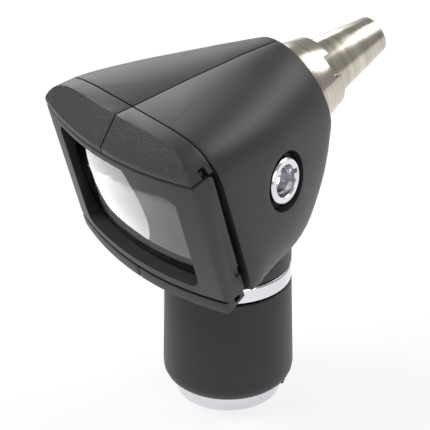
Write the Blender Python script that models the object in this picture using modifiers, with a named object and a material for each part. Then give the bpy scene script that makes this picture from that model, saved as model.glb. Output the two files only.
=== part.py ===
"""Otoscope head: a two-shell housing with a sliding lens window at the rear, a metal nose for the
speculum at the front, an insufflation port at the side and a lamp neck with a handle coupling below.

The origin is on the surface that it stands on, under the middle of its outline. +Z is up along the
neck, +Y points to the nose and +X to the side with the port. Metres throughout.

Head frame: x to the right, p forward along the optical axis, t across it, upwards.
"""

import math

import bmesh
import bpy
from mathutils import Matrix, Vector

# ---------------------------------------------------------------- driving dimensions
GAP = 0.0003  # between neighbouring pieces
FINE_GAP = 0.0001  # between the thin sleeves of the nose
ROUND_STEPS = 40

HEAD_TILT = math.radians(16)
HEAD_BACK = -0.01422  # head frame's origin, from the neck axis
HEAD_HEIGHT = 0.04585  # head frame's origin, above the floor

SHELL_WALL = 0.0018
SHELL_REAR = -0.0010
SHELL_FRONT = 0.02885
SHELL_FLOOR = 0.03225  # height of the shells' flat underside
SEAM = 0.0003  # between the left and right shells
# Skin stations: p, half-width, height above the axis, its squareness, depth below, its squareness.
SKIN = (
    (-0.0110, 0.0204, 0.0172, 5.5, 0.0185, 9.0),
    (-0.0010, 0.0204, 0.0157, 5.5, 0.0185, 8.0),
    (0.0030, 0.0199, 0.0151, 4.9, 0.0195, 4.6),
    (0.0070, 0.0190, 0.0145, 4.2, 0.0208, 3.4),
    (0.0110, 0.0179, 0.0139, 3.6, 0.0218, 3.0),
    (0.0150, 0.0166, 0.0132, 3.1, 0.0226, 2.7),
    (0.0185, 0.0151, 0.0126, 2.8, 0.0224, 2.5),
    (0.0220, 0.0136, 0.0120, 2.5, 0.0201, 2.4),
    (0.0260, 0.0118, 0.0111, 2.2, 0.0163, 2.2),
    (0.0280, 0.0108, 0.0107, 2.05, 0.0127, 2.05),
    (0.02885, 0.0104, 0.01045, 2.0, 0.0104, 2.0),
)
SKIN_RINGS = 22
SKIN_POINTS = 48

TRACK_CENTRE = 0.059  # p of the axis that the lens frame slides round
TRACK_RADIUS = 0.068  # of the lens frame's rear face
FRAME_DEPTH = 0.0039
FRAME_HALF_WIDTH = 0.0204
FRAME_TOP = 0.0110
FRAME_BOTTOM = -0.0130
FRAME_EDGE = 0.0005
FRAME_TO_SHELL = 0.0012  # open gap between the frame and the shells' sides
TONGUE_INSET = 0.0005  # from the frame's inner face
TONGUE_THICKNESS = 0.0008
TONGUE_HEIGHT = 0.0012
NOTCH_HEIGHT = 0.0020
NOTCH_DEPTH = 0.0006
NOTCH_AT = -0.0086

WINDOW_HALF_WIDTH = 0.0155
WINDOW_TOP = 0.0096
WINDOW_BOTTOM = -0.0113
WINDOW_CORNER = 0.0020
LENS_OVERLAP = 0.0008  # how far the lens reaches under the frame's lip
LENS_FRONT_RADIUS = 0.060
LENS_RECESS = 0.0015  # its crown, under the frame's rear face
RETAINER_THICKNESS = 0.0006
RETAINER_RIM = 0.0010

RAIL_LIP = 0.0010
RAIL_RISE = 0.0037  # height of the textured slope above the lip, at the middle
LOWER_RAIL_HEIGHT = 0.0021
LOWER_RAIL_RIB = 0.0018

THROAT_WALL = 0.0010
THROAT_END = 0.0220
THROAT_BORE = 0.0034
THROAT_FLANGE = 0.0017  # how far the flange reaches forward of the shells' rear edge
THROAT_TOP = 0.0079
THROAT_BOTTOM = -0.0096
THROAT_HALF_WIDTH = 0.0154
FLANGE_TOP = 0.0108
FLANGE_BOTTOM = -0.0111
SEAL_RIM = 0.0012
SPRING_HEIGHT = 0.0012
SPRING_THICKNESS = 0.0003

COLLAR_BASE_RADIUS = 0.00835
COLLAR_TIP_RADIUS = 0.0066
COLLAR_TIP = 0.0357
COLLAR_REAR = 0.0245
COLLAR_SHOULDER = 0.0310
COLLAR_CHAMBER_RADIUS = 0.0074
SLOT_COUNT = 3  # slots for the speculum
SLOT_ANGLE = math.radians(56)  # of the first one, from the top towards +X
SLOT_HALF_WIDTH = 0.0021
SLOT_DEPTH = 0.0016
NOSE_ROOT_RADIUS = 0.0055
NOSE_TIP_RADIUS = 0.00335
NOSE_TIP = 0.04835
NOSE_WALL = 0.0005
FIBRE_WALL = 0.00045
BORE_WALL = 0.0004
BUNDLE_RADIUS = 0.0012

PORT_AT = (0.0170, 0.0131, -0.0016)
PORT_TURN = math.radians(17)  # towards the nose
PORT_RADIUS = 0.0040
PORT_BORE = 0.0027
PORT_STEM = 0.0032
PORT_POCKET = 0.0052
PORT_FLANGE = 0.0016
PORT_LENGTH = 0.0096

NECK_TUBE_RADIUS = 0.0067
NECK_TUBE_BORE = 0.0046
NECK_TUBE_BASE = 0.0093
NECK_TUBE_TOP = 0.0362
NECK_NUT_RADIUS = 0.0086
NECK_NUT_HEIGHT = 0.0015
COLLAR_RADIUS = 0.0110
BAND_BASE = 0.0226
BAND_HEIGHT = 0.0029
SLEEVE_TOP_RADIUS = 0.01105
SLEEVE_FOOT_RADIUS = 0.0114
SLEEVE_BASE = 0.0029
SLEEVE_FOOT_ROUND = 0.0022
COUPLING_RADIUS = 0.0091
COUPLING_BORE = 0.0070
COUPLING_SPIGOT = 0.0080
COUPLING_TOP = 0.0120
PIN_COUNT = 3
PIN_RADIUS = 0.0008
PIN_REACH = 0.0010
PIN_HEIGHT = 0.0045

LAMP_BASE = 0.0095
LAMP_RADIUS = 0.0032
LAMP_SHELL_HEIGHT = 0.0115
LAMP_FLANGE_RADIUS = 0.0041
BULB_RADIUS = 0.0025
BULB_HEIGHT = 0.0082
BULB_WALL = 0.0004
CONTACT_RADIUS = 0.0013
INSULATOR_RADIUS = 0.0026
LAMP_DISC = 0.0006

SCREW_AT = (0.0090, 0.0086)  # p and t of the screw through the top of the shells
SCREW_RADIUS = 0.0008
SCREW_HEAD_RADIUS = 0.0014
SCREW_HEAD_HEIGHT = 0.0009
SCREW_HEAD_AT = 0.0164
SCREW_REACH = 0.0080
BOSS_RADIUS = 0.0017


# ---------------------------------------------------------------- frames
def tilted(back, along, across):
    """A point of the middle plane in the head frame, as (Y, Z) from the neck axis at the floor."""
    cos, sin = math.cos(HEAD_TILT), math.sin(HEAD_TILT)
    return back + along * cos - across * sin, HEAD_HEIGHT + along * sin + across * cos


rearmost = tilted(HEAD_BACK, TRACK_CENTRE - TRACK_RADIUS, FRAME_TOP + GAP + RAIL_LIP)[0]
foremost = tilted(HEAD_BACK, NOSE_TIP, -NOSE_TIP_RADIUS)[0]
NECK = Matrix.Translation((0, -(rearmost + foremost) / 2, 0))
HEAD = NECK @ Matrix.Translation((0, HEAD_BACK, HEAD_HEIGHT)) @ Matrix.Rotation(HEAD_TILT, 4, "X")
OPTICAL = HEAD @ Matrix.Rotation(math.radians(-90), 4, "X")  # its Z is the optical axis
TRACK = HEAD @ Matrix.Translation((0, TRACK_CENTRE, 0))
PORT = (
    HEAD
    @ Matrix.Translation(PORT_AT)
    @ Matrix.Rotation(PORT_TURN, 4, "Z")
    @ Matrix.Rotation(math.radians(90), 4, "Y")
)

for old in list(bpy.data.objects):
    bpy.data.objects.remove(old)

parts = bpy.data.collections.new("otoscope")
cutters = bpy.data.collections.new("cutters")
bpy.context.scene.collection.children.link(parts)
bpy.context.scene.collection.children.link(cutters)


# ---------------------------------------------------------------- materials
def material(name, colour, roughness, metallic=0.0, transmission=0.0):
    made = bpy.data.materials.new(name)
    made.use_nodes = True
    shader = made.node_tree.nodes["Principled BSDF"]
    shader.inputs["Base Color"].default_value = (*colour, 1)
    shader.inputs["Roughness"].default_value = roughness
    shader.inputs["Metallic"].default_value = metallic
    shader.inputs["Transmission Weight"].default_value = transmission
    made.diffuse_color = (*colour, 1)
    return made


BLACK_PLASTIC = material("black_plastic", (0.045, 0.045, 0.048), 0.45)
GREY_PLASTIC = material("grey_plastic", (0.075, 0.075, 0.08), 0.5)
MATT_BLACK = material("matt_black", (0.02, 0.02, 0.02), 0.9)
SATIN_NICKEL = material("satin_nickel", (0.72, 0.68, 0.6), 0.32, metallic=1)
CHROME = material("chrome", (0.85, 0.86, 0.88), 0.12, metallic=1)
STEEL = material("steel", (0.6, 0.6, 0.6), 0.3, metallic=1)
BRASS = material("brass", (0.72, 0.55, 0.28), 0.3, metallic=1)
RUBBER = material("rubber", (0.03, 0.03, 0.03), 0.8)
CLEAR = material("clear_acrylic", (0.95, 0.97, 1), 0.03, transmission=1)
GLASS = material("lamp_glass", (1, 1, 1), 0.02, transmission=1)
FIBRE = material("light_fibre", (0.85, 0.85, 0.8), 0.3)
WHITE_INSULATOR = material("white_insulator", (0.8, 0.78, 0.7), 0.6)
TUNGSTEN = material("tungsten", (0.4, 0.4, 0.4), 0.4, metallic=1)


# ---------------------------------------------------------------- modelling helpers
def add(name, mesh, matrix, finish=None):
    """A piece when it has a finish, or else a hidden cutter."""
    mesh.name = name
    made = bpy.data.objects.new(name, mesh)
    made.matrix_world = matrix
    if finish:
        parts.objects.link(made)
        mesh.materials.append(finish)
        mesh.shade_smooth()
        mesh.set_sharp_from_angle(angle=math.radians(35))
    else:
        cutters.objects.link(made)
        made.hide_render = True
        made.display_type = "WIRE"
    return made


def as_piece(made, finish):
    """Turns a cutter into a visible piece."""
    cutters.objects.unlink(made)
    parts.objects.link(made)
    made.hide_render = False
    made.display_type = "TEXTURED"
    made.data.materials.append(finish)
    made.data.shade_smooth()
    made.data.set_sharp_from_angle(angle=math.radians(35))


def boolean(target, tool, operation):
    step = target.modifiers.new(tool.name, "BOOLEAN")
    step.operation = operation
    step.solver = "EXACT"
    step.object = tool
    return target


def cut(target, *tools):
    for tool in tools:
        boolean(target, tool, "DIFFERENCE")
    return target


def keep(target, *tools):
    for tool in tools:
        boolean(target, tool, "INTERSECT")
    return target


def join(target, *tools):
    for tool in tools:
        boolean(target, tool, "UNION")
    return target


def bevel(target, width, segments=2, angle=50):
    step = target.modifiers.new("rounded_edges", "BEVEL")
    step.width = width
    step.segments = segments
    step.limit_method = "ANGLE"
    step.angle_limit = math.radians(angle)
    return target


def loft(name, rings, matrix, finish=None):
    """A closed solid through rings that each hold the same number of points."""
    shape = bmesh.new()
    loops = [[shape.verts.new(point) for point in ring] for ring in rings]
    for near, far in zip(loops, loops[1:]):
        for i in range(len(near)):
            j = (i + 1) % len(near)
            shape.faces.new((near[i], near[j], far[j], far[i]))
    shape.faces.new(loops[0])
    shape.faces.new(loops[-1])
    bmesh.ops.recalc_face_normals(shape, faces=shape.faces)
    mesh = bpy.data.meshes.new(name)
    shape.to_mesh(mesh)
    shape.free()
    return add(name, mesh, matrix, finish)


def box(name, low, high, matrix, finish=None):
    low, high = Vector(low), Vector(high)
    shape = bmesh.new()
    bmesh.ops.create_cube(shape, size=1)
    bmesh.ops.scale(shape, vec=high - low, verts=shape.verts)
    bmesh.ops.translate(shape, vec=(low + high) / 2, verts=shape.verts)
    mesh = bpy.data.meshes.new(name)
    shape.to_mesh(mesh)
    shape.free()
    return add(name, mesh, matrix, finish)


def rod(name, radius, start, end, matrix, finish=None, steps=ROUND_STEPS):
    """A cylinder along the matrix's Z from start to end."""
    shape = bmesh.new()
    bmesh.ops.create_cone(
        shape, cap_ends=True, segments=steps, radius1=radius, radius2=radius, depth=end - start
    )
    bmesh.ops.translate(shape, vec=(0, 0, (start + end) / 2), verts=shape.verts)
    mesh = bpy.data.meshes.new(name)
    shape.to_mesh(mesh)
    shape.free()
    return add(name, mesh, matrix, finish)


def turned(name, outer, inner, matrix, finish=None, steps=ROUND_STEPS):
    """A profile of (radius, height) turned round Z: outer and inner both run from top to bottom.

    A solid piece has no inner side, and its outer side starts and ends on the axis.
    """
    points = list(outer) + list(reversed(inner))
    mesh = bpy.data.meshes.new(name)
    edges = [(i, i + 1) for i in range(len(points) - 1)]
    if inner:
        edges.append((len(points) - 1, 0))
    mesh.from_pydata([(radius, 0, height) for radius, height in points], edges, [])
    made = add(name, mesh, matrix, finish)
    spin = made.modifiers.new("turn", "SCREW")
    spin.steps = steps
    spin.render_steps = steps
    spin.use_merge_vertices = True
    spin.merge_threshold = 1e-6
    spin.use_smooth_shade = True
    return made


def tube(name, route, radius, matrix, finish, smooth=4):
    """A round bar along a smooth curve through the route's points."""
    guide = bpy.data.curves.new(name, "CURVE")
    guide.dimensions = "3D"
    guide.bevel_depth = radius
    guide.bevel_resolution = 2
    guide.use_fill_caps = True
    points = []
    ends = [2 * Vector(route[0]) - Vector(route[1]), 2 * Vector(route[-1]) - Vector(route[-2])]
    padded = [ends[0], *map(Vector, route), ends[1]]
    for a, b, c, d in zip(padded, padded[1:], padded[2:], padded[3:]):
        for i in range(smooth):
            u = i / smooth
            points.append(
                0.5 * (2 * b + (c - a) * u + (2 * a - 5 * b + 4 * c - d) * u**2
                       + (3 * b - a - 3 * c + d) * u**3)
            )
    points.append(Vector(route[-1]))
    spline = guide.splines.new("POLY")
    spline.points.add(len(points) - 1)
    for knot, point in zip(spline.points, points):
        knot.co = (*point, 1)
    made = bpy.data.objects.new(name, guide)
    made.matrix_world = matrix
    parts.objects.link(made)
    guide.materials.append(finish)
    return made


def rounded_outline(half_width, bottom, top, corner, steps=5):
    """(x, t) of a rectangle with round corners, anticlockwise from its lower right."""
    outline = []
    for x, t, start in (
        (half_width - corner, bottom + corner, -90),
        (half_width - corner, top - corner, 0),
        (corner - half_width, top - corner, 90),
        (corner - half_width, bottom + corner, 180),
    ):
        for i in range(steps + 1):
            angle = math.radians(start + 90 * i / steps)
            outline.append((x + corner * math.cos(angle), t + corner * math.sin(angle)))
    return outline


def prism(name, outline, rear, front, finish=None):
    """An outline of (x, t) drawn along the optical axis."""
    return loft(name, [[(x, p, t) for x, t in outline] for p in (rear, front)], HEAD, finish)


def arc_block(name, inner, outer, bottom, top, half_angle=21, steps=28, finish=None):
    """Part of a ring round the lens frame's track axis, open towards the nose."""
    rings = []
    for i in range(steps + 1):
        angle = math.radians(half_angle) * (2 * i / steps - 1)
        x, y = math.sin(angle), -math.cos(angle)
        rings.append([
            (inner * x, inner * y, bottom),
            (outer * x, outer * y, bottom),
            (outer * x, outer * y, top),
            (inner * x, inner * y, top),
        ])
    return loft(name, rings, TRACK, finish)


def blended(table, at):
    """The table's values at a station, on a smooth curve through its rows."""
    rows = list(table)
    i = max(j for j, row in enumerate(rows[:-1]) if row[0] <= at or j == 0)
    low, high = rows[i], rows[i + 1]
    before, after = rows[max(i - 1, 0)], rows[min(i + 2, len(rows) - 1)]
    span = high[0] - low[0]
    u = (at - low[0]) / span
    values = []
    for k in range(1, len(low)):
        rise_low = (high[k] - before[k]) / (high[0] - before[0]) * span
        rise_high = (after[k] - low[k]) / (after[0] - low[0]) * span
        values.append(
            low[k] * (1 + 2 * u) * (1 - u) ** 2
            + rise_low * u * (1 - u) ** 2
            + high[k] * u**2 * (3 - 2 * u)
            + rise_high * u**2 * (u - 1)
        )
    return values


def squared(angle, half_width, top, top_power, bottom, bottom_power):
    """(x, t) on an outline that runs from a circle at power 2 to a rounded box at higher powers."""
    cos, sin = math.cos(angle), math.sin(angle)
    height, power = (top, top_power) if sin >= 0 else (bottom, bottom_power)
    x = math.copysign(abs(cos) ** (2 / power), cos) if abs(cos) > 1e-9 else 0
    t = math.copysign(abs(sin) ** (2 / power), sin) if abs(sin) > 1e-9 else 0
    return half_width * x, height * t


def skin(name, inset, rear, front):
    """The housing's outer form, drawn in by inset, between two stations."""
    rings = []
    for i in range(SKIN_RINGS + 1):
        p = rear + (front - rear) * i / SKIN_RINGS
        half_width, top, top_power, bottom, bottom_power = blended(SKIN, p)
        rings.append([
            (x, p, t)
            for x, t in (
                squared(
                    2 * math.pi * j / SKIN_POINTS,
                    half_width - inset, top - inset, top_power, bottom - inset, bottom_power,
                )
                for j in range(SKIN_POINTS)
            )
        ])
    return loft(name, rings, HEAD)


FAR = 0.1  # past everything
FRAME_INNER = TRACK_RADIUS - FRAME_DEPTH
SHELL_ARC = FRAME_INNER - FRAME_TO_SHELL
TONGUE_INNER = FRAME_INNER + TONGUE_INSET
TONGUE_OUTER = TONGUE_INNER + TONGUE_THICKNESS

left_side = box("left_side", (-FAR, -FAR, -FAR), (SEAM / 2, FAR, FAR), HEAD)
right_side = box("right_side", (-SEAM / 2, -FAR, -FAR), (FAR, FAR, FAR), HEAD)
behind_shells = box("behind_shells", (-FAR, -FAR, -FAR), (FAR, SHELL_REAR, FAR), HEAD)
track_sweep = arc_block("track_sweep", SHELL_ARC, TRACK_RADIUS + 0.02, -FAR / 2, FAR / 2, 40)


# ---------------------------------------------------------------- shells
def shells():
    below = box("below_shells", (-FAR, -FAR, -FAR), (FAR, FAR, SHELL_FLOOR), NECK)
    cavity = skin("cavity", SHELL_WALL, SKIN[0][0], SHELL_FRONT - SHELL_WALL)
    floor = box("cavity_floor", (-FAR, -FAR, -FAR), (FAR, FAR, SHELL_FLOOR + SHELL_WALL), NECK)
    cut(cavity, floor)
    nose_hole = rod(
        "nose_hole", COLLAR_BASE_RADIUS + GAP, SHELL_FRONT - 3 * SHELL_WALL, SHELL_FRONT + 0.01, OPTICAL
    )
    neck_hole = rod(
        "neck_hole", NECK_TUBE_RADIUS + GAP, SHELL_FLOOR - 0.01, SHELL_FLOOR + 2 * SHELL_WALL, NECK
    )
    port_boss = rod(
        "port_boss", PORT_POCKET + SHELL_WALL, -PORT_FLANGE - 2 * GAP - 2.5 * SHELL_WALL + 0.0018,
        PORT_FLANGE, PORT
    )
    keep(port_boss, skin("port_boss_limit", 0, SKIN[0][0], SHELL_FRONT))
    port_pocket = rod("port_pocket", PORT_POCKET, -PORT_FLANGE - 0.0010, 0.02, PORT)
    port_hole = rod("port_hole", PORT_STEM + GAP, -0.02, 0.02, PORT)
    across = HEAD @ Matrix.Translation((0, *SCREW_AT)) @ Matrix.Rotation(math.radians(90), 4, "Y")
    for side, other, sign in (("left", right_side, -1), ("right", left_side, 1)):
        shell = skin(f"{side}_shell", 0, SKIN[0][0], SHELL_FRONT)
        as_piece(shell, BLACK_PLASTIC)
        reach = SCREW_HEAD_AT - 0.0012
        boss = rod(f"{side}_boss", BOSS_RADIUS, *sorted((0, sign * reach)), across, steps=24)
        cut(shell, behind_shells, track_sweep, below, cavity)
        if side == "right":
            join(shell, port_boss)
            cut(shell, port_pocket, port_hole)
        join(shell, boss)
        cut(shell, nose_hole, neck_hole, other)
    hole = rod("screw_hole", SCREW_RADIUS + FINE_GAP, -SCREW_HEAD_AT, SCREW_REACH + GAP, across, steps=24)
    seat = rod(
        "screw_seat", SCREW_HEAD_RADIUS + FINE_GAP, -SCREW_HEAD_AT - 0.01, -SCREW_HEAD_AT + SCREW_HEAD_HEIGHT,
        across, steps=24
    )
    cut(bpy.data.objects["left_shell"], hole, seat)
    cut(bpy.data.objects["right_shell"], hole)
    head = -SCREW_HEAD_AT + SCREW_HEAD_HEIGHT - FINE_GAP
    screw = turned(
        "shell_screw",
        [(0, SCREW_REACH), (SCREW_RADIUS, SCREW_REACH), (SCREW_RADIUS, head), (SCREW_HEAD_RADIUS, head),
         (SCREW_HEAD_RADIUS, head - SCREW_HEAD_HEIGHT), (0, head - SCREW_HEAD_HEIGHT)],
        [], across, STEEL, steps=20,
    )
    slot = box(
        "screw_slot", (-0.0003, -0.01, head - SCREW_HEAD_HEIGHT - 0.001),
        (0.0003, 0.01, head - 0.55 * SCREW_HEAD_HEIGHT), across
    )
    cut(screw, slot)


# ---------------------------------------------------------------- rails that carry the lens frame
def rails():
    rail_front = box("rail_front", (-FAR, SHELL_REAR - GAP, -FAR), (FAR, FAR, FAR), HEAD)
    behind_rails = arc_block("behind_rails", TRACK_RADIUS, TRACK_RADIUS + 0.02, -FAR / 2, FAR / 2, 40)
    groove_inner, groove_outer = TONGUE_INNER - GAP, TONGUE_OUTER + GAP
    upper_groove = arc_block(
        "upper_groove", groove_inner, groove_outer, FRAME_TOP - 0.001, FRAME_TOP + TONGUE_HEIGHT + 2 * GAP, 40
    )
    under_upper = box("under_upper_rail", (-FAR, -FAR, -FAR), (FAR, FAR, FRAME_TOP + GAP), HEAD)
    lip = FRAME_TOP + GAP + RAIL_LIP
    # The sloping face runs from the lip, on the frame's arc, up to a flatter curve on the top.
    rings = []
    steps = 20
    reach = FRAME_HALF_WIDTH + 0.001
    for i in range(steps + 1):
        x = reach * (2 * i / steps - 1)
        low_p = TRACK_CENTRE - math.sqrt(TRACK_RADIUS**2 - x**2)
        share = abs(x) / FRAME_HALF_WIDTH
        run = (TRACK_RADIUS - TRACK_CENTRE - 0.00486) * (1 - share**2) + 0.0004 * share**2
        rise = RAIL_RISE * (1 - share**2) + 0.0012 * share**2
        rings.append([
            (x, -FAR / 2, lip),
            (x, low_p, lip),
            (x, low_p + 2.5 * run, lip + 2.5 * rise),
            (x, low_p + 2.5 * run, lip + FAR / 2),
            (x, -FAR / 2, lip + FAR / 2),
        ])
    slope = loft("rail_slope", rings, HEAD)
    lower_top = FRAME_BOTTOM - GAP
    lower_foot = lower_top - LOWER_RAIL_HEIGHT
    lower_blank = arc_block(
        "lower_blank", SHELL_ARC - 0.0007, TRACK_RADIUS, lower_foot, lower_top + LOWER_RAIL_RIB, 17.2
    )
    frame_sweep = arc_block("frame_sweep", FRAME_INNER - GAP, TRACK_RADIUS + 0.02, lower_top, FAR / 2, 40)
    lower_groove = arc_block(
        "lower_groove", groove_inner, groove_outer,
        FRAME_BOTTOM - TONGUE_HEIGHT - 2 * GAP, FRAME_BOTTOM + 0.001, 40
    )
    cut(lower_blank, frame_sweep, lower_groove, rail_front)
    for side, other in (("left", right_side), ("right", left_side)):
        upper = skin(f"upper_rail_{side}", 0, SKIN[0][0], SHELL_FRONT)
        as_piece(upper, BLACK_PLASTIC)
        cut(upper, rail_front, under_upper, behind_rails, slope, upper_groove, other)
        lower = skin(f"lower_rail_{side}", 0, SKIN[0][0], SHELL_FRONT)
        as_piece(lower, BLACK_PLASTIC)
        keep(lower, lower_blank)
        cut(lower, other)


# ---------------------------------------------------------------- sliding lens frame
def lens_window():
    frame = arc_block("lens_frame", FRAME_INNER, TRACK_RADIUS, FRAME_BOTTOM, FRAME_TOP, 21, 28, GREY_PLASTIC)
    ends = box(
        "frame_ends", (-FRAME_HALF_WIDTH, -FAR, -FAR), (FRAME_HALF_WIDTH, FAR, FAR), HEAD
    )
    keep(frame, ends)
    bevel(frame, FRAME_EDGE)
    tongue = arc_block(
        "tongues", TONGUE_INNER, TONGUE_OUTER, FRAME_BOTTOM - TONGUE_HEIGHT, FRAME_TOP + TONGUE_HEIGHT, 17
    )
    window = prism(
        "window", rounded_outline(WINDOW_HALF_WIDTH, WINDOW_BOTTOM, WINDOW_TOP, WINDOW_CORNER), -0.02, 0.02
    )
    across = WINDOW_HALF_WIDTH + LENS_OVERLAP
    low, high = WINDOW_BOTTOM - LENS_OVERLAP, WINDOW_TOP + LENS_OVERLAP
    corner = WINDOW_CORNER + LENS_OVERLAP
    crown = TRACK_CENTRE - TRACK_RADIUS + LENS_RECESS
    middle = (low + high) / 2
    retainer_outer = FRAME_INNER + RETAINER_THICKNESS
    lens_back = retainer_outer + FINE_GAP

    def globe(name, extra):
        shape = bmesh.new()
        bmesh.ops.create_uvsphere(
            shape, u_segments=144, v_segments=72, radius=LENS_FRONT_RADIUS + extra
        )
        mesh = bpy.data.meshes.new(name)
        shape.to_mesh(mesh)
        shape.free()
        at = Matrix.Translation((0, crown + LENS_FRONT_RADIUS, middle))
        return add(name, mesh, HEAD @ at)

    pocket = prism(
        "lens_pocket",
        rounded_outline(across + FINE_GAP, low - FINE_GAP, high + FINE_GAP, corner + FINE_GAP), -0.02, 0.02
    )
    keep(pocket, globe("pocket_globe", FINE_GAP))
    join(frame, tongue)
    cut(frame, window, pocket)
    for sign in (-1, 1):
        side = sorted((sign * (FRAME_HALF_WIDTH - NOTCH_DEPTH), sign * (FRAME_HALF_WIDTH + 0.01)))
        notch = box(
            f"frame_notch_{'right' if sign > 0 else 'left'}",
            (side[0], -0.0030, NOTCH_AT - NOTCH_HEIGHT / 2),
            (side[1], 0.01, NOTCH_AT + NOTCH_HEIGHT / 2),
            HEAD,
        )
        cut(frame, notch)

    lens = prism("magnifying_lens", rounded_outline(across, low, high, corner), -0.02, 0.02, CLEAR)
    keep(lens, globe("lens_globe", 0))
    cut(lens, arc_block("lens_back", 0.03, lens_back, -FAR / 2, FAR / 2, 40))

    retainer = arc_block("lens_retainer", FRAME_INNER, retainer_outer, low, high, 21, 28, GREY_PLASTIC)
    keep(retainer, prism("retainer_outline", rounded_outline(across, low, high, corner), -0.02, 0.02))
    rim = RETAINER_RIM
    cut(
        retainer,
        prism("retainer_opening", rounded_outline(across - rim, low + rim, high - rim, corner), -0.02, 0.02)
    )


# ---------------------------------------------------------------- throat between window and nose
def throat_section(p, inset):
    """The funnel narrows quickly behind the window, then runs gently into the nose."""
    share = max(0, min(1, (p - SHELL_REAR) / (THROAT_END - SHELL_REAR)))
    left = (1 - share) ** 1.7
    end = THROAT_BORE + THROAT_WALL
    power = 2 + 6 * left
    return (
        end + (THROAT_HALF_WIDTH + THROAT_WALL - end) * left - inset,
        end + (THROAT_TOP + THROAT_WALL - end) * left - inset,
        power,
        end + (-THROAT_BOTTOM + THROAT_WALL - end) * left - inset,
        power,
    )


def funnel(name, inset, rear, front, steps=14):
    rings = []
    for i in range(steps + 1):
        p = rear + (front - rear) * i / steps
        section = throat_section(p, inset)
        rings.append([
            (x, p, t)
            for x, t in (squared(2 * math.pi * j / SKIN_POINTS, *section) for j in range(SKIN_POINTS))
        ])
    return loft(name, rings, HEAD)


def throat():
    front = SHELL_REAR + THROAT_FLANGE
    rear_arc = SHELL_ARC - GAP
    flange = skin("throat_flange", SHELL_WALL + GAP, SKIN[0][0], front)
    cut(
        flange,
        box("over_flange", (-FAR, -FAR, FLANGE_TOP), (FAR, FAR, FAR), HEAD),
        box("under_flange", (-FAR, -FAR, -FAR), (FAR, FAR, FLANGE_BOTTOM), HEAD),
        arc_block("behind_flange", rear_arc, TRACK_RADIUS + 0.02, -FAR / 2, FAR / 2, 40),
    )
    body = funnel("throat", 0, front - 0.0008, THROAT_END)
    as_piece(body, MATT_BLACK)
    join(body, flange)
    cut(body, funnel("throat_way", THROAT_WALL, -0.012, THROAT_END + 0.01))
    cut(body, rod("throat_port_hole", PORT_STEM + GAP, -0.013, -0.004, PORT, steps=28))

    seal_outer = (THROAT_HALF_WIDTH + SEAL_RIM, THROAT_BOTTOM - SEAL_RIM, THROAT_TOP + SEAL_RIM)
    seal = arc_block(
        "window_seal", rear_arc + GAP, FRAME_INNER - GAP, THROAT_BOTTOM - SEAL_RIM, THROAT_TOP + SEAL_RIM,
        21, 28, RUBBER
    )
    keep(seal, prism("seal_outline", rounded_outline(*seal_outer, WINDOW_CORNER), -0.02, 0.02))
    cut(
        seal,
        prism(
            "seal_opening", rounded_outline(THROAT_HALF_WIDTH, THROAT_BOTTOM, THROAT_TOP, 0.001), -0.02, 0.02
        ),
    )

    # A bowed leaf presses on the frame's inner face, above the window.
    rings = []
    steps = 24
    low_arc = rear_arc + GAP
    high_arc = FRAME_INNER - GAP - SPRING_THICKNESS
    top = FLANGE_TOP - 0.0001
    for i in range(steps + 1):
        share = 2 * i / steps - 1
        angle = math.radians(11) * share
        inner = low_arc + (high_arc - low_arc) * math.cos(math.pi * share / 2) ** 2
        outer = inner + SPRING_THICKNESS
        x, y = math.sin(angle), -math.cos(angle)
        rings.append([
            (inner * x, inner * y, top - SPRING_HEIGHT),
            (outer * x, outer * y, top - SPRING_HEIGHT),
            (outer * x, outer * y, top),
            (inner * x, inner * y, top),
        ])
    loft("friction_spring", rings, TRACK, STEEL)


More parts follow.
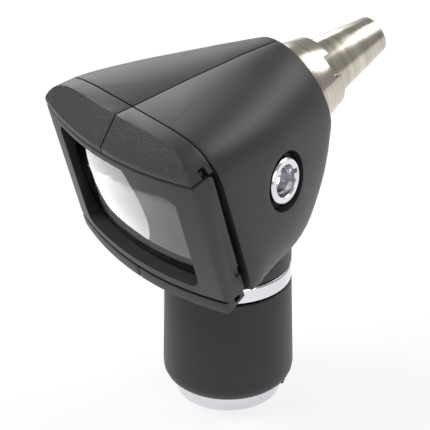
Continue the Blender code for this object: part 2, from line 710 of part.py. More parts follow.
# ---------------------------------------------------------------- nose
def nose():
    wall_inside = SHELL_FRONT - SHELL_WALL - GAP
    flange = COLLAR_BASE_RADIUS + 0.0005
    bore = NOSE_ROOT_RADIUS + 0.0002
    collar = turned(
        "speculum_collar",
        [(COLLAR_TIP_RADIUS - 0.0002, COLLAR_TIP), (COLLAR_TIP_RADIUS, COLLAR_TIP - 0.0003),
         (COLLAR_BASE_RADIUS, SHELL_FRONT), (COLLAR_BASE_RADIUS, wall_inside), (flange, wall_inside),
         (flange, COLLAR_REAR)],
        [(bore, COLLAR_TIP), (bore, COLLAR_SHOULDER), (COLLAR_CHAMBER_RADIUS, COLLAR_SHOULDER),
         (COLLAR_CHAMBER_RADIUS, COLLAR_REAR)],
        OPTICAL, SATIN_NICKEL, steps=48,
    )
    for i in range(SLOT_COUNT):
        turn = SLOT_ANGLE + 2 * math.pi * i / SLOT_COUNT
        at = HEAD @ Matrix.Rotation(turn, 4, "Y")
        notch = box(
            f"speculum_slot_{i + 1}", (-SLOT_HALF_WIDTH, COLLAR_TIP - SLOT_DEPTH, bore - 0.0006),
            (SLOT_HALF_WIDTH, COLLAR_TIP + 0.001, COLLAR_TIP_RADIUS + 0.002), at
        )
        cut(collar, notch)

    seat = COLLAR_SHOULDER - GAP
    foot = COLLAR_CHAMBER_RADIUS - FINE_GAP
    root, tip = NOSE_ROOT_RADIUS, NOSE_TIP_RADIUS
    turned(
        "nose_cone",
        [(tip - 0.0002, NOSE_TIP), (tip, NOSE_TIP - 0.0002), (root, COLLAR_TIP), (root, seat), (foot, seat),
         (foot, seat - 0.0011)],
        [(tip - NOSE_WALL, NOSE_TIP), (root - NOSE_WALL, COLLAR_TIP), (root - NOSE_WALL, seat - 0.0011)],
        OPTICAL, SATIN_NICKEL, steps=48,
    )
    root -= NOSE_WALL + FINE_GAP
    tip -= NOSE_WALL + FINE_GAP
    disc = seat - 0.0011 - GAP
    turned(
        "fibre_ring",
        [(tip, NOSE_TIP - 0.0002), (root, COLLAR_TIP), (root, disc), (foot - GAP, disc),
         (foot - GAP, disc - 0.001)],
        [(tip - FIBRE_WALL, NOSE_TIP - 0.0002), (root - FIBRE_WALL, COLLAR_TIP),
         (root - FIBRE_WALL, disc - 0.001)],
        OPTICAL, FIBRE, steps=36,
    )
    root -= FIBRE_WALL + FINE_GAP
    tip -= FIBRE_WALL + FINE_GAP
    gasket = THROAT_END + GAP + 0.0006
    rear = gasket + GAP
    turned(
        "bore_tube",
        [(tip, NOSE_TIP - 0.0002), (root, COLLAR_TIP), (root, rear + 0.0008),
         (THROAT_BORE + THROAT_WALL, rear + 0.0008),
         (THROAT_BORE + THROAT_WALL, rear)],
        [(tip - BORE_WALL, NOSE_TIP - 0.0002), (root - BORE_WALL, COLLAR_TIP), (root - BORE_WALL, rear)],
        OPTICAL, MATT_BLACK, steps=36,
    )
    turned(
        "nose_gasket",
        [(THROAT_BORE + THROAT_WALL, gasket), (THROAT_BORE + THROAT_WALL, THROAT_END + GAP)],
        [(THROAT_BORE, gasket), (THROAT_BORE, THROAT_END + GAP)],
        OPTICAL, RUBBER, steps=32,
    )
    return disc - 0.001 - GAP


def light_path(bundle_end):
    """The fibre bundle, from over the lamp to the ring of fibres round the nose's bore."""
    ring = (COLLAR_CHAMBER_RADIUS + NOSE_ROOT_RADIUS - NOSE_WALL - FIBRE_WALL - 2 * FINE_GAP) / 2
    ferrule_top = NECK_TUBE_TOP + GAP
    to_head = HEAD.inverted() @ NECK
    start = to_head @ Vector((0, 0, ferrule_top - 0.003))
    lift = to_head @ Vector((0, 0, ferrule_top + 0.0004))
    end = Vector((0, bundle_end, -ring))
    level = Vector((0, COLLAR_REAR - 0.001, -ring))
    up = (lift - start).normalized()
    handles = (lift, lift + 0.0035 * up, level - Vector((0, 0.006, 0)), level)
    route = [start]
    for i in range(9):
        u = i / 8
        weights = ((1 - u) ** 3, 3 * u * (1 - u) ** 2, 3 * u**2 * (1 - u), u**3)
        route.append(sum((w * h for w, h in zip(weights, handles)), Vector()))
    route.append(end)
    tube("fibre_bundle", route, BUNDLE_RADIUS, HEAD, FIBRE, smooth=2)
    turned(
        "bundle_ferrule",
        [(NECK_TUBE_BORE - FINE_GAP, ferrule_top), (NECK_TUBE_BORE - FINE_GAP, ferrule_top - 0.0035)],
        [(BUNDLE_RADIUS + FINE_GAP, ferrule_top), (BUNDLE_RADIUS + FINE_GAP, ferrule_top - 0.0035)],
        NECK, BRASS, steps=28,
    )


# ---------------------------------------------------------------- insufflation port
def port():
    stem = -PORT_FLANGE
    fitting = turned(
        "insufflation_port",
        [(PORT_RADIUS - 0.0003, 0), (PORT_RADIUS, -0.0003), (PORT_RADIUS, stem), (PORT_STEM, stem),
         (PORT_STEM, -PORT_LENGTH)],
        [(PORT_BORE + 0.0002, 0), (PORT_BORE, -0.0003), (PORT_BORE, -0.0030), (PORT_BORE - 0.0005, -0.0034),
         (PORT_BORE - 0.0005, -0.0052), (PORT_BORE - 0.001, -0.0056), (PORT_BORE - 0.001, -PORT_LENGTH)],
        PORT, CHROME, steps=36,
    )
    slot = box("port_slot", (-0.0004, 0, -0.0012), (0.0004, PORT_BORE + 0.0006, 0.001), PORT)
    cut(fitting, slot)
    washer = stem - GAP
    turned(
        "port_washer",
        [(PORT_POCKET - GAP, washer), (PORT_POCKET - GAP, washer - 0.0004)],
        [(PORT_STEM + 0.0002, washer), (PORT_STEM + 0.0002, washer - 0.0004)],
        PORT, RUBBER, steps=32,
    )
    inside = -PORT_FLANGE - 2 * GAP - 2.5 * SHELL_WALL + 0.0018 - GAP
    outer = PORT_STEM + 0.0015
    nut = turned(
        "port_nut", [(0, inside), (outer, inside), (outer, inside - 0.0013), (0, inside - 0.0013)], [],
        PORT, BRASS, steps=6,
    )
    cut(nut, rod("nut_bore", PORT_STEM + FINE_GAP, inside - 0.01, inside + 0.01, PORT))


# ---------------------------------------------------------------- neck and coupling
def neck():
    tube_way = NECK_TUBE_RADIUS + GAP
    turned(
        "neck_tube",
        [(NECK_TUBE_RADIUS, NECK_TUBE_TOP), (NECK_TUBE_RADIUS, NECK_TUBE_BASE)],
        [(NECK_TUBE_BORE, NECK_TUBE_TOP), (NECK_TUBE_BORE, NECK_TUBE_BASE)],
        NECK, BRASS,
    )
    nut = SHELL_FLOOR + SHELL_WALL + GAP
    turned(
        "neck_nut",
        [(NECK_NUT_RADIUS, nut + NECK_NUT_HEIGHT), (NECK_NUT_RADIUS, nut)],
        [(tube_way, nut + NECK_NUT_HEIGHT), (tube_way, nut)],
        NECK, BRASS, steps=32,
    )
    band_top = BAND_BASE + BAND_HEIGHT
    top, base = SHELL_FLOOR - GAP, band_top + GAP
    turned(
        "neck_collar",
        [(COLLAR_RADIUS, top), (COLLAR_RADIUS, base + 0.0002), (COLLAR_RADIUS - 0.0002, base)],
        [(tube_way, top), (tube_way, base)],
        NECK, BLACK_PLASTIC, steps=48,
    )
    turned(
        "chrome_band",
        [(COLLAR_RADIUS - 0.0002, band_top), (COLLAR_RADIUS, band_top - 0.0003),
         (COLLAR_RADIUS, BAND_BASE + 0.0003),
         (COLLAR_RADIUS - 0.0002, BAND_BASE)],
        [(tube_way, band_top), (tube_way, BAND_BASE)],
        NECK, CHROME, steps=48,
    )
    sleeve_top = BAND_BASE - GAP
    foot = [
        (SLEEVE_FOOT_RADIUS - SLEEVE_FOOT_ROUND * (1 - math.cos(math.radians(a))),
         SLEEVE_BASE + SLEEVE_FOOT_ROUND * (1 - math.sin(math.radians(a))) * 1.3)
        for a in (0, 22, 45, 66, 90)
    ]
    spigot_way = COUPLING_SPIGOT + GAP
    sleeve = turned(
        "lower_sleeve",
        [(SLEEVE_TOP_RADIUS - 0.0002, sleeve_top), (SLEEVE_TOP_RADIUS, sleeve_top - 0.0002), *foot],
        [(tube_way, sleeve_top), (tube_way, COUPLING_TOP + GAP), (spigot_way, COUPLING_TOP + GAP),
         (spigot_way, SLEEVE_BASE)],
        NECK, BLACK_PLASTIC, steps=48,
    )
    tab_turn = Matrix.Rotation(math.radians(37), 4, "Z")
    tab = box(
        "sleeve_tab", (COUPLING_RADIUS + 0.0002, -0.0008, SLEEVE_BASE - 0.0007),
        (COUPLING_RADIUS + 0.0011, 0.0008, SLEEVE_BASE + 0.0020), NECK @ tab_turn
    )
    join(sleeve, tab)
    flange_top = SLEEVE_BASE - GAP
    ring = turned(
        "coupling_ring",
        [(COUPLING_SPIGOT, COUPLING_TOP), (COUPLING_SPIGOT, flange_top), (COUPLING_RADIUS, flange_top),
         (COUPLING_RADIUS, 0.0004), (COUPLING_RADIUS - 0.0004, 0)],
        [(COUPLING_BORE, COUPLING_TOP), (COUPLING_BORE, 0.0003), (COUPLING_BORE + 0.0003, 0)],
        NECK, CHROME, steps=48,
    )
    for i in range(PIN_COUNT):
        turn = Matrix.Rotation(2 * math.pi * (i + 0.25) / PIN_COUNT, 4, "Z")
        at = NECK @ turn @ Matrix.Translation((0, 0, PIN_HEIGHT)) @ Matrix.Rotation(math.radians(90), 4, "Y")
        outer = COUPLING_SPIGOT - FINE_GAP
        hole = rod(
            f"pin_hole_{i + 1}", PIN_RADIUS + FINE_GAP, COUPLING_BORE - 0.001, COUPLING_SPIGOT + 0.001, at,
            steps=16,
        )
        cut(ring, hole)
        pin = rod(f"bayonet_pin_{i + 1}", PIN_RADIUS, COUPLING_BORE - PIN_REACH, outer, at, STEEL, steps=16)
        bevel(pin, 0.0002, 1)


# ---------------------------------------------------------------- lamp
def lamp():
    top = LAMP_BASE + LAMP_SHELL_HEIGHT
    cup = BULB_RADIUS + FINE_GAP
    turned(
        "lamp_base",
        [(LAMP_FLANGE_RADIUS, top), (LAMP_FLANGE_RADIUS, top - 0.001), (LAMP_RADIUS, top - 0.001),
         (LAMP_RADIUS, LAMP_BASE)],
        [(cup, top), (cup, top - 0.002), (INSULATOR_RADIUS - 0.0009, top - 0.0025),
         (INSULATOR_RADIUS - 0.0009, LAMP_BASE)],
        NECK, BRASS, steps=32,
    )
    foot = top - 0.0018
    crown = foot + BULB_HEIGHT
    outer, inner = [], []
    for radius, centre, side in ((BULB_RADIUS, crown - BULB_RADIUS, outer),
                                 (BULB_RADIUS - BULB_WALL, crown - BULB_RADIUS, inner)):
        for a in range(0, 91, 18):
            side.append((radius * math.sin(math.radians(a)), centre + radius * math.cos(math.radians(a))))
        side.append((radius, foot))
    glass = bpy.data.meshes.new("lamp_bulb")
    points = outer + inner[::-1]
    glass.from_pydata([(r, 0, z) for r, z in points], [(i, i + 1) for i in range(len(points) - 1)], [])
    bulb = add("lamp_bulb", glass, NECK, GLASS)
    spin = bulb.modifiers.new("turn", "SCREW")
    spin.steps = spin.render_steps = 24
    spin.use_merge_vertices = True
    spin.merge_threshold = 1e-6
    half = 0.0009
    base = foot - 0.0004
    coil = crown - 0.0034
    tube(
        "lamp_filament",
        [(-half, 0, base), (-half, 0, coil - 0.001), (-half, 0, coil), (-half / 3, 0, coil + 0.0003),
         (half / 3, 0, coil + 0.0003), (half, 0, coil), (half, 0, coil - 0.001), (half, 0, base)],
        0.00015, NECK, TUNGSTEN, smooth=2,
    )
    disc = LAMP_BASE - GAP
    rod("lamp_insulator", INSULATOR_RADIUS, disc - LAMP_DISC, disc, NECK, WHITE_INSULATOR, 28)
    contact = LAMP_BASE - 2 * GAP - LAMP_DISC
    bevel(rod("lamp_contact", CONTACT_RADIUS, contact - LAMP_DISC, contact, NECK, BRASS, 20), 0.0002)
    bush_low, bush_high = NECK_TUBE_BASE + GAP, top - 0.001 - GAP
    turned(
        "lamp_bush",
        [(NECK_TUBE_BORE - GAP, bush_high), (NECK_TUBE_BORE - GAP, bush_low)],
        [(LAMP_RADIUS + GAP, bush_high), (LAMP_RADIUS + GAP, bush_low)],
        NECK, WHITE_INSULATOR, steps=32,
    )


shells()
rails()
lens_window()
throat()
light_path(nose())
port()
neck()
lamp()
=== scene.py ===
import math
import bpy
from mathutils import Matrix, Vector


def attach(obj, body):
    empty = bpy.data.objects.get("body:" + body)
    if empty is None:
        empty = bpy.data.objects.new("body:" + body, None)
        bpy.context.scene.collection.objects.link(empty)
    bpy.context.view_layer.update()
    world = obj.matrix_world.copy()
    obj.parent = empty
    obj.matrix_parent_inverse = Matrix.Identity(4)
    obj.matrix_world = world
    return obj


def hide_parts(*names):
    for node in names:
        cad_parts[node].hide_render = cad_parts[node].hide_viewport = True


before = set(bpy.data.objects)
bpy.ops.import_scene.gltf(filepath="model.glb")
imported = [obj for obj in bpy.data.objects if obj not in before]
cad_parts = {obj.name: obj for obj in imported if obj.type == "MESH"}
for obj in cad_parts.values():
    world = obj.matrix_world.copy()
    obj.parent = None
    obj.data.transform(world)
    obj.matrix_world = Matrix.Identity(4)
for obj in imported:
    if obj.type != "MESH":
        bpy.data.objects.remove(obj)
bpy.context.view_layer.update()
print("frame loaded")

neckY = -0.00346  # the neck axis
headTilt = math.radians(16)
headSpot = Vector((0, neckY - 0.01422, 0.04585))  # on the optical axis, behind the housing


def headPoint(side, along, across):
    return headSpot + Matrix.Rotation(headTilt, 3, "X") @ Vector((side, along, across))


# shared effects

def newGroup(name, numbers, outputs):
    group = bpy.data.node_groups.new(name, "ShaderNodeTree")
    for label, value in numbers.items():
        socket = group.interface.new_socket(label, in_out="INPUT", socket_type="NodeSocketFloat")
        socket.default_value = value
    for label in outputs:
        group.interface.new_socket(label, in_out="OUTPUT", socket_type="NodeSocketFloat")
    return group, group.nodes.new("NodeGroupInput"), group.nodes.new("NodeGroupOutput")


def addMath(tree, operation, *values, clamp=False):
    node = tree.nodes.new("ShaderNodeMath")
    node.operation = operation
    node.use_clamp = clamp
    for socket, value in zip(node.inputs, values):
        if isinstance(value, (int, float)):
            socket.default_value = value
        else:
            tree.links.new(value, socket)
    return node.outputs[0]


def addNoise(tree, vector, scale, detail=3, roughness=0.5):
    node = tree.nodes.new("ShaderNodeTexNoise")
    node.inputs["Detail"].default_value = detail
    node.inputs["Roughness"].default_value = roughness
    tree.links.new(vector, node.inputs["Vector"])
    if isinstance(scale, (int, float)):
        node.inputs["Scale"].default_value = scale
    else:
        tree.links.new(scale, node.inputs["Scale"])
    return node.outputs["Fac"]


def makeMouldedGrain():
    # fine spark texture of a moulded housing, with slow patches of polish
    numbers = {"Scale": 3000, "Patches": 90}
    group, given, result = newGroup("mouldedGrain", numbers, ["Height", "Patch", "Dust"])
    place = group.nodes.new("ShaderNodeTexCoord").outputs["Object"]
    group.links.new(addNoise(group, place, given.outputs["Scale"], 4, 0.6), result.inputs["Height"])
    group.links.new(addNoise(group, place, given.outputs["Patches"], 3), result.inputs["Patch"])
    specks = addNoise(group, place, 2200, 2)
    peaks = addMath(group, "SUBTRACT", specks, 0.66, clamp=True)
    group.links.new(addMath(group, "MULTIPLY", peaks, 6, clamp=True), result.inputs["Dust"])
    return group


def makeLeatherGrain():
    # pebbles with creases between them
    group, given, result = newGroup("leatherGrain", {"Scale": 900}, ["Height", "Blotch"])
    place = group.nodes.new("ShaderNodeTexCoord").outputs["Object"]
    wobble = group.nodes.new("ShaderNodeTexNoise")
    wobble.inputs["Scale"].default_value = 700
    group.links.new(place, wobble.inputs["Vector"])
    shift = group.nodes.new("ShaderNodeVectorMath")
    shift.operation = "MULTIPLY_ADD"
    shift.inputs[1].default_value = (0.0006, 0.0006, 0.0006)
    group.links.new(wobble.outputs["Color"], shift.inputs[0])
    group.links.new(place, shift.inputs[2])
    cells = group.nodes.new("ShaderNodeTexVoronoi")
    cells.feature = "SMOOTH_F1"
    cells.inputs["Smoothness"].default_value = 0.6
    group.links.new(shift.outputs[0], cells.inputs["Vector"])
    group.links.new(given.outputs["Scale"], cells.inputs["Scale"])
    group.links.new(addMath(group, "SUBTRACT", 1.0, cells.outputs["Distance"]), result.inputs["Height"])
    group.links.new(addNoise(group, place, 900, 3, 0.6), result.inputs["Blotch"])
    return group


def makeTurnedMarks():
    # fine rings left by the lathe round an axis, with slow bands of colour
    group, given, result = newGroup("turnedMarks", {"Fine": 6000, "Bands": 500, "Tilt": 0}, ["Fine", "Band"])
    place = group.nodes.new("ShaderNodeTexCoord").outputs["Object"]
    parts = group.nodes.new("ShaderNodeSeparateXYZ")
    group.links.new(place, parts.inputs[0])
    height = addMath(group, "MULTIPLY", parts.outputs["Z"], addMath(group, "COSINE", given.outputs["Tilt"]))
    depth = addMath(group, "MULTIPLY", parts.outputs["Y"], addMath(group, "SINE", given.outputs["Tilt"]))
    along = addMath(group, "ADD", height, depth)
    spot = group.nodes.new("ShaderNodeCombineXYZ")
    group.links.new(along, spot.inputs["X"])
    group.links.new(addMath(group, "MULTIPLY", parts.outputs["X"], 0.03), spot.inputs["Y"])
    group.links.new(addNoise(group, spot.outputs[0], given.outputs["Fine"], 2), result.inputs["Fine"])
    group.links.new(addNoise(group, spot.outputs[0], given.outputs["Bands"], 2), result.inputs["Band"])
    return group


mouldedGrain = makeMouldedGrain()
leatherGrain = makeLeatherGrain()
turnedMarks = makeTurnedMarks()
print("effects made")


# finishes

def newFinish(name, roughness, metallic=0.0):
    finish = bpy.data.materials.new(name)
    finish.use_nodes = True
    shader = finish.node_tree.nodes["Principled BSDF"]
    shader.inputs["Roughness"].default_value = roughness
    shader.inputs["Metallic"].default_value = metallic
    return finish, finish.node_tree, shader


def addEffect(tree, group, **values):
    node = tree.nodes.new("ShaderNodeGroup")
    node.node_tree = group
    for label, value in values.items():
        node.inputs[label].default_value = value
    return node.outputs


def addRamp(tree, value, stops):
    node = tree.nodes.new("ShaderNodeValToRGB")
    tree.links.new(value, node.inputs["Fac"])
    ramp = node.color_ramp
    for i, (place, colour) in enumerate(stops):
        stop = ramp.elements[i] if i < 2 else ramp.elements.new(place)
        stop.position = place
        stop.color = (*colour, 1)
    return node.outputs["Color"]


def addRange(tree, value, low, high):
    node = tree.nodes.new("ShaderNodeMapRange")
    node.inputs["To Min"].default_value = low
    node.inputs["To Max"].default_value = high
    tree.links.new(value, node.inputs["Value"])
    return node.outputs[0]


def addBump(tree, shader, height, strength, distance):
    node = tree.nodes.new("ShaderNodeBump")
    node.inputs["Strength"].default_value = strength
    node.inputs["Distance"].default_value = distance
    tree.links.new(height, node.inputs["Height"])
    tree.links.new(node.outputs[0], shader.inputs["Normal"])


def mouldedPlastic(name, dark, light, rough, scale=2800, depth=0.00004):
    finish, tree, shader = newFinish(name, rough)
    grain = addEffect(tree, mouldedGrain, Scale=scale)
    tree.links.new(addRamp(tree, grain["Patch"], [(0.3, dark), (0.7, light)]), shader.inputs["Base Color"])
    tree.links.new(addRange(tree, grain["Patch"], rough - 0.05, rough + 0.06), shader.inputs["Roughness"])
    addBump(tree, shader, grain["Height"], 0.5, depth)
    return finish


def grainedPlastic():
    finish, tree, shader = newFinish("browGrain", 0.55)
    grain = addEffect(tree, leatherGrain, Scale=2300)
    stops = [(0.3, (0.026, 0.0255, 0.029)), (0.7, (0.036, 0.035, 0.039))]
    tree.links.new(addRamp(tree, grain["Blotch"], stops), shader.inputs["Base Color"])
    tree.links.new(addRange(tree, grain["Height"], 0.66, 0.5), shader.inputs["Roughness"])
    addBump(tree, shader, grain["Height"], 0.55, 0.0002)
    return finish


def turnedMetal(name, dark, light, rough, tilt=0.0, fine=6000, bands=500, depth=0.000012):
    finish, tree, shader = newFinish(name, rough, 1.0)
    marks = addEffect(tree, turnedMarks, Fine=fine, Bands=bands, Tilt=tilt)
    tree.links.new(addRamp(tree, marks["Band"], [(0.3, dark), (0.7, light)]), shader.inputs["Base Color"])
    tree.links.new(addRange(tree, marks["Fine"], rough - 0.07, rough + 0.09), shader.inputs["Roughness"])
    addBump(tree, shader, marks["Fine"], 0.3, depth)
    return finish


def clearPlastic(name, tint, rough, ior):
    finish, tree, shader = newFinish(name, rough)
    shader.inputs["Transmission Weight"].default_value = 1
    shader.inputs["IOR"].default_value = ior
    grain = addEffect(tree, mouldedGrain, Scale=400)
    stops = [(0.2, tint), (0.8, (0.99, 0.99, 1.0))]
    tree.links.new(addRamp(tree, grain["Patch"], stops), shader.inputs["Base Color"])
    tree.links.new(addRange(tree, grain["Dust"], rough, rough + 0.08), shader.inputs["Roughness"])
    return finish


housing = mouldedPlastic("housingPlastic", (0.014, 0.014, 0.0148), (0.022, 0.022, 0.0228), 0.46)
neckPlastic = mouldedPlastic("neckPlastic", (0.008, 0.008, 0.0086), (0.012, 0.012, 0.0126), 0.46)
windowPlastic = mouldedPlastic("windowPlastic", (0.02, 0.0188, 0.0225), (0.029, 0.0272, 0.032), 0.47)
dullBlack = mouldedPlastic("dullBlack", (0.012, 0.012, 0.013), (0.02, 0.02, 0.021), 0.85, 2000, 0.00003)
rubber = mouldedPlastic("sealRubber", (0.018, 0.018, 0.018), (0.03, 0.03, 0.03), 0.75, 1500, 0.00003)
insulator = mouldedPlastic("insulatorPlastic", (0.62, 0.58, 0.48), (0.78, 0.74, 0.64), 0.55)
fibres = mouldedPlastic("fibreEnds", (0.7, 0.69, 0.62), (0.9, 0.89, 0.84), 0.3, 9000)
brow = grainedPlastic()
noseNickel = turnedMetal("noseNickel", (0.44, 0.395, 0.33), (0.7, 0.65, 0.565), 0.23, math.pi / 2 - headTilt)
chrome = turnedMetal("brightChrome", (0.66, 0.66, 0.69), (0.84, 0.84, 0.87), 0.12, 0, 3000, 160, 0.000004)
barrelMetal = turnedMetal(
    "barrelMetal", (0.72, 0.73, 0.76), (0.9, 0.9, 0.92), 0.24, math.pi / 2 - headTilt, 2500, 200)
steel = turnedMetal("plainSteel", (0.42, 0.42, 0.43), (0.62, 0.62, 0.63), 0.3)
brass = turnedMetal("turnedBrass", (0.5, 0.36, 0.16), (0.74, 0.56, 0.28), 0.28)
tungsten = turnedMetal("filamentWire", (0.25, 0.25, 0.26), (0.4, 0.4, 0.42), 0.4)
lensClear = clearPlastic("lensClear", (0.93, 0.96, 0.98), 0.01, 1.49)
bulbClear = clearPlastic("bulbClear", (0.96, 0.97, 0.97), 0.0, 1.46)
print("finishes made")


# pieces

def onlyThis(piece):
    for other in bpy.context.selected_objects:
        other.select_set(False)
    piece.select_set(True)
    bpy.context.view_layer.objects.active = piece


def refine(node, name, finishes, rounding=0.0, body="head", angle=32):
    # a merged copy of the frame's piece, with broken edges and smooth shading
    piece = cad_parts[node].copy()
    piece.data = piece.data.copy()
    piece.name = name
    piece.data.name = name
    bpy.context.scene.collection.objects.link(piece)
    piece.parent = None
    piece.matrix_world = Matrix.Identity(4)
    onlyThis(piece)
    bpy.ops.object.mode_set(mode="EDIT")
    bpy.ops.mesh.select_all(action="SELECT")
    bpy.ops.mesh.remove_doubles(threshold=0.000004)
    bpy.ops.mesh.dissolve_limited(angle_limit=math.radians(0.4), delimit=set())
    bpy.ops.mesh.select_all(action="DESELECT")
    bpy.ops.object.mode_set(mode="OBJECT")
    piece.data.materials.clear()
    for finish in finishes:
        piece.data.materials.append(finish)
    if rounding:
        edges = piece.modifiers.new("brokenEdges", "BEVEL")
        edges.width = rounding
        edges.segments = 3
        edges.limit_method = "ANGLE"
        edges.angle_limit = math.radians(angle)
        edges.use_clamp_overlap = True
        edges.miter_outer = "MITER_ARC"
        bpy.ops.object.modifier_apply(modifier="brokenEdges")
    bpy.ops.object.shade_smooth_by_angle(angle=math.radians(angle + 4))
    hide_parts(node)
    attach(piece, body)
    return piece


def paintFaces(piece, test, index):  # a second finish where the test holds
    for face in piece.data.polygons:
        if test(face):
            face.material_index = index


refined = {
    "left_shell": ("leftHousing", "black_plastic", [housing], 0.00018),
    "right_shell": ("rightHousing", "black_plastic", [housing], 0.00018),
    "lower_rail_left": ("lowerRailLeft", "black_plastic", [housing], 0.00010),
    "lower_rail_right": ("lowerRailRight", "black_plastic", [housing], 0.00010),
    "neck_collar": ("neckCollar", "black_plastic", [neckPlastic], 0.00010),
    "lower_sleeve": ("gripSleeve", "black_plastic", [neckPlastic], 0.00010),
    "chrome_band": ("brightBand", "chrome", [chrome], 0.00005),
    "coupling_ring": ("couplingRing", "chrome", [chrome], 0.00008),
    "insufflation_port": ("portFitting", "chrome", [chrome], 0.00008),
    "speculum_collar": ("noseCollar", "satin_nickel", [noseNickel], 0.00010),
    "nose_cone": ("noseCone", "satin_nickel", [noseNickel], 0.00005),
    "throat": ("viewingThroat", "matt_black", [dullBlack], 0.0),
}
for node, (name, slot, finishes, rounding) in refined.items():
    refine(node, name, finishes, rounding)

# the barrel inside the throat is bright metal, past its dull mouth
barrel = {"start": 0.003, "end": 0.0195}
throatPiece = bpy.data.objects["viewingThroat"]
throatPiece.data.materials.append(barrelMetal)


def inBarrel(face):
    away = face.center - headSpot
    along = away.y * math.cos(headTilt) + away.z * math.sin(headTilt)
    foot = headPoint(0, along, 0)
    return barrel["start"] < along < barrel["end"] and face.normal.dot(foot - face.center) > 0


paintFaces(throatPiece, inBarrel, 1)

slopeUp = Vector((0, -math.sin(headTilt), math.cos(headTilt)))
slopeBack = Vector((0, -math.cos(headTilt), -math.sin(headTilt)))


def onSlope(face):
    return face.normal.dot(slopeBack) > 0.3 and face.normal.dot(slopeUp) > 0.12


for side in ("left", "right"):
    rail = refine(f"upper_rail_{side}", f"brow{side.title()}", [housing, brow], 0.00008)
    paintFaces(rail, onSlope, 1)

# the frame's own plastic, then a darker matt black that paints shade onto the opening's inner walls
windowFinishesAndShade = [windowPlastic, dullBlack]
windowFrame = refine("lens_frame", "windowFrame", windowFinishesAndShade, 0.0, "lens_slider")
opening = {"halfWidth": 0.0168, "low": -0.0125, "high": 0.0108}


def inShadedOpening(face):
    away = face.center - headSpot
    up = away.z * math.cos(headTilt) - away.y * math.sin(headTilt)
    inside = abs(away.x) < opening["halfWidth"] and opening["low"] < up < opening["high"]
    return inside and abs(face.normal.dot(slopeBack)) < 0.6


# painted shade: the inner walls of the opening take the darker black
paintFaces(windowFrame, inShadedOpening, 1)
refine("magnifying_lens", "magnifyingLens", [lensClear], 0.0, "lens_slider", 20)
print("outer pieces made")

# what stays as the frame has it takes its finish here
carried = {
    "lens_retainer": windowPlastic, "window_seal": rubber, "friction_spring": steel, "nose_gasket": rubber,
    "fibre_ring": fibres, "bore_tube": dullBlack, "fibre_bundle": fibres, "bundle_ferrule": brass,
    "port_washer": rubber, "port_nut": brass, "shell_screw": steel, "neck_tube": brass, "neck_nut": brass,
    "bayonet_pin_1": steel, "bayonet_pin_2": steel, "bayonet_pin_3": steel, "lamp_base": brass,
    "lamp_bulb": bulbClear, "lamp_filament": tungsten, "lamp_insulator": insulator, "lamp_contact": brass,
    "lamp_bush": insulator,
}
for node, finish in carried.items():
    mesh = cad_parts[node].data
    mesh.materials.clear()
    mesh.materials.append(finish)
print("inner pieces finished")


# stage

def makeFloor():
    bpy.ops.object.select_all(action="DESELECT")
    bpy.ops.mesh.primitive_plane_add(size=6, location=(0, 0, 0))
    floor = bpy.context.object
    floor.name = "floor"
    finish, tree, shader = newFinish("whiteFloor", 0.9)
    shader.inputs["Base Color"].default_value = (0.9, 0.9, 0.9, 1)
    shader.inputs["Specular IOR Level"].default_value = 0
    glow = tree.nodes.new("ShaderNodeEmission")
    rays = tree.nodes.new("ShaderNodeLightPath")
    seen = addMath(tree, "MAXIMUM", rays.outputs["Is Camera Ray"], rays.outputs["Is Glossy Ray"])
    share = addMath(tree, "MULTIPLY", seen, 0.78)
    blend = tree.nodes.new("ShaderNodeMixShader")
    tree.links.new(share, blend.inputs[0])
    tree.links.new(shader.outputs[0], blend.inputs[1])
    tree.links.new(glow.outputs[0], blend.inputs[2])
    tree.links.new(blend.outputs[0], tree.nodes["Material Output"].inputs["Surface"])
    floor.data.materials.append(finish)


def makeWorld():
    world = bpy.data.worlds.new("studio")
    world.use_nodes = True
    tree = world.node_tree
    back = tree.nodes["Background"]
    rays = tree.nodes.new("ShaderNodeLightPath")
    seen = addMath(tree, "MAXIMUM", rays.outputs["Is Camera Ray"], rays.outputs["Is Transmission Ray"])
    strength = addMath(tree, "MULTIPLY_ADD", seen, 0.66, 0.34)
    tree.links.new(strength, back.inputs["Strength"])
    back.inputs["Color"].default_value = (1, 1, 1, 1)
    bpy.context.scene.world = world


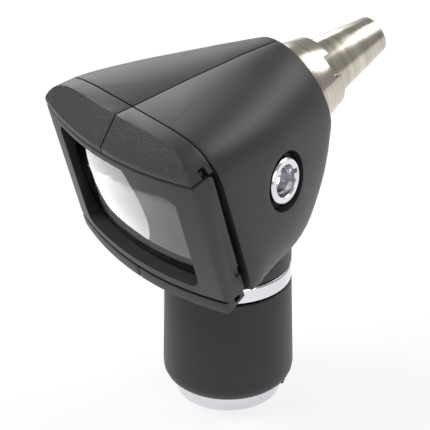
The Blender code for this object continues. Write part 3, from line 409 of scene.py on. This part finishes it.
lamps = {
    "keyLamp": {"spot": (-0.35, -0.45, 0.75), "size": 0.45, "power": 5.5},
    "sideLamp": {"spot": (0.75, -0.05, 0.35), "size": 0.4, "power": 1.5},
    "backLamp": {"spot": (0.1, 0.6, 0.6), "size": 0.5, "power": 3.0},
    "leftLamp": {"spot": (-0.62, 0.22, 0.3), "size": 0.35, "power": 1.6},
}
# the white card that the lens shows
lensCard = {"spot": (-0.035, -0.030, 0.0175), "size": 0.030, "power": 0.0062}


def makeLamps():
    for name, lamp in lamps.items():
        light = bpy.data.lights.new(name, "AREA")
        light.size = lamp["size"]
        light.energy = lamp["power"]
        held = bpy.data.objects.new(name, light)
        held.location = lamp["spot"]
        aim = Vector((0, 0, 0.035)) - held.location
        held.rotation_euler = aim.to_track_quat("-Z", "Y").to_euler()
        bpy.context.scene.collection.objects.link(held)


view = {
    "spot": (0.29245, -0.23434, 0.23393), "azimuth": 52.05, "elevation": 28.2, "roll": -0.24, "lens": 206.7,
}


def makeLensCard():
    card = bpy.data.lights.new("lensCard", "AREA")
    card.shape = "DISK"
    card.size = lensCard["size"]
    card.energy = lensCard["power"]
    held = bpy.data.objects.new("lensCard", card)
    held.location = lensCard["spot"]
    aim = headPoint(-0.005, -0.0085, 0) - held.location
    held.rotation_euler = aim.to_track_quat("-Z", "Y").to_euler()
    held.visible_camera = False
    held.visible_transmission = False
    bpy.context.scene.collection.objects.link(held)
    lit = bpy.data.collections.new("lensCardReaches")
    lit.objects.link(bpy.data.objects["magnifyingLens"])
    held.light_linking.receiver_collection = lit


def makeCamera():
    camera = bpy.data.cameras.new("camera")
    camera.lens = view["lens"]
    camera.sensor_width = 36
    held = bpy.data.objects.new("camera", camera)
    turn = (Matrix.Rotation(math.radians(view["azimuth"]), 4, "Z")
            @ Matrix.Rotation(math.radians(90 - view["elevation"]), 4, "X")
            @ Matrix.Rotation(math.radians(view["roll"]), 4, "Z"))
    held.matrix_world = Matrix.Translation(view["spot"]) @ turn
    bpy.context.scene.collection.objects.link(held)
    bpy.context.scene.camera = held


makeFloor()
makeWorld()
makeLamps()
makeLensCard()
makeCamera()
bpy.context.scene.view_settings.view_transform = "Standard"
print("stage set")
